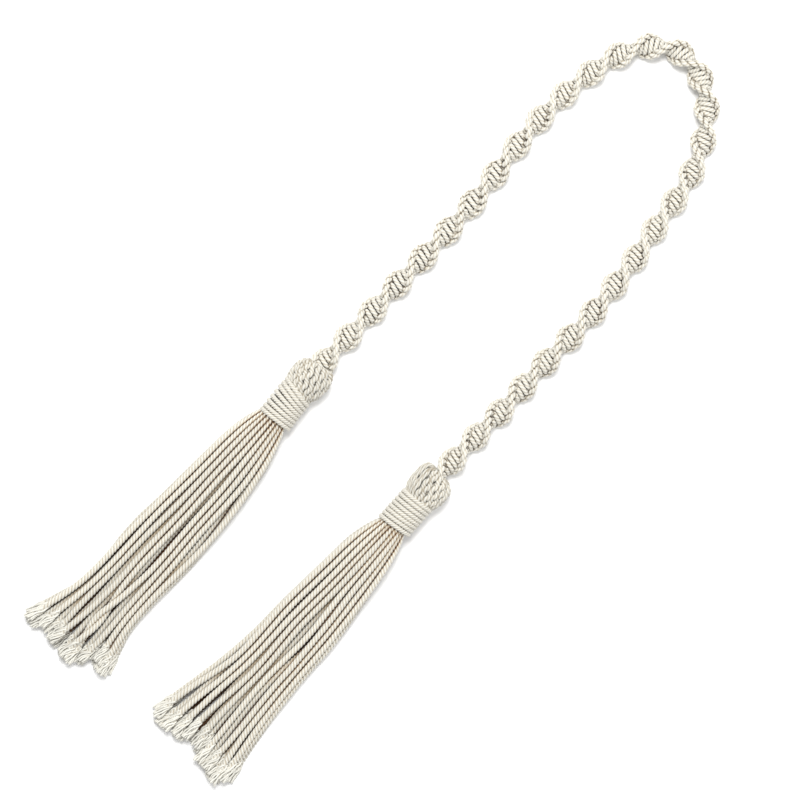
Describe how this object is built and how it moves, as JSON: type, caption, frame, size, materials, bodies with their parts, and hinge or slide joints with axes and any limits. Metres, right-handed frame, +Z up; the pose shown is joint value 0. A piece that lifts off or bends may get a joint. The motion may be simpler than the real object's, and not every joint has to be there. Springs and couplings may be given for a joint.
{
  "type": "curtain tieback",
  "caption": "Macrame curtain tieback of natural cotton cord: a spiral knotted sinnet laid in a U, with a bound cord tassel at each end.",
  "frame": {"origin": "centre of the bounding box in plan, on the surface that the tieback lies on", "axes": "+Y from the tassels towards the bend of the U, +X across the U towards the right tassel, +Z up from the surface"},
  "size_m": [0.1603, 0.5254, 0.023],
  "materials": {
    "sinnet_cotton": "three-ply natural cotton cord, tied in half knots",
    "tassel_cotton": "three-ply natural cotton cord, cut ends teased open",
    "binding_cotton": "thinner natural cotton cord, wound tight"
  },
  "bodies": {
    "root": {"sinnet": "sinnet_cotton", "tassel_left": "tassel_cotton", "tassel_right": "tassel_cotton", "wrap_left": "binding_cotton", "wrap_right": "binding_cotton"}
  },
  "joints": []
}
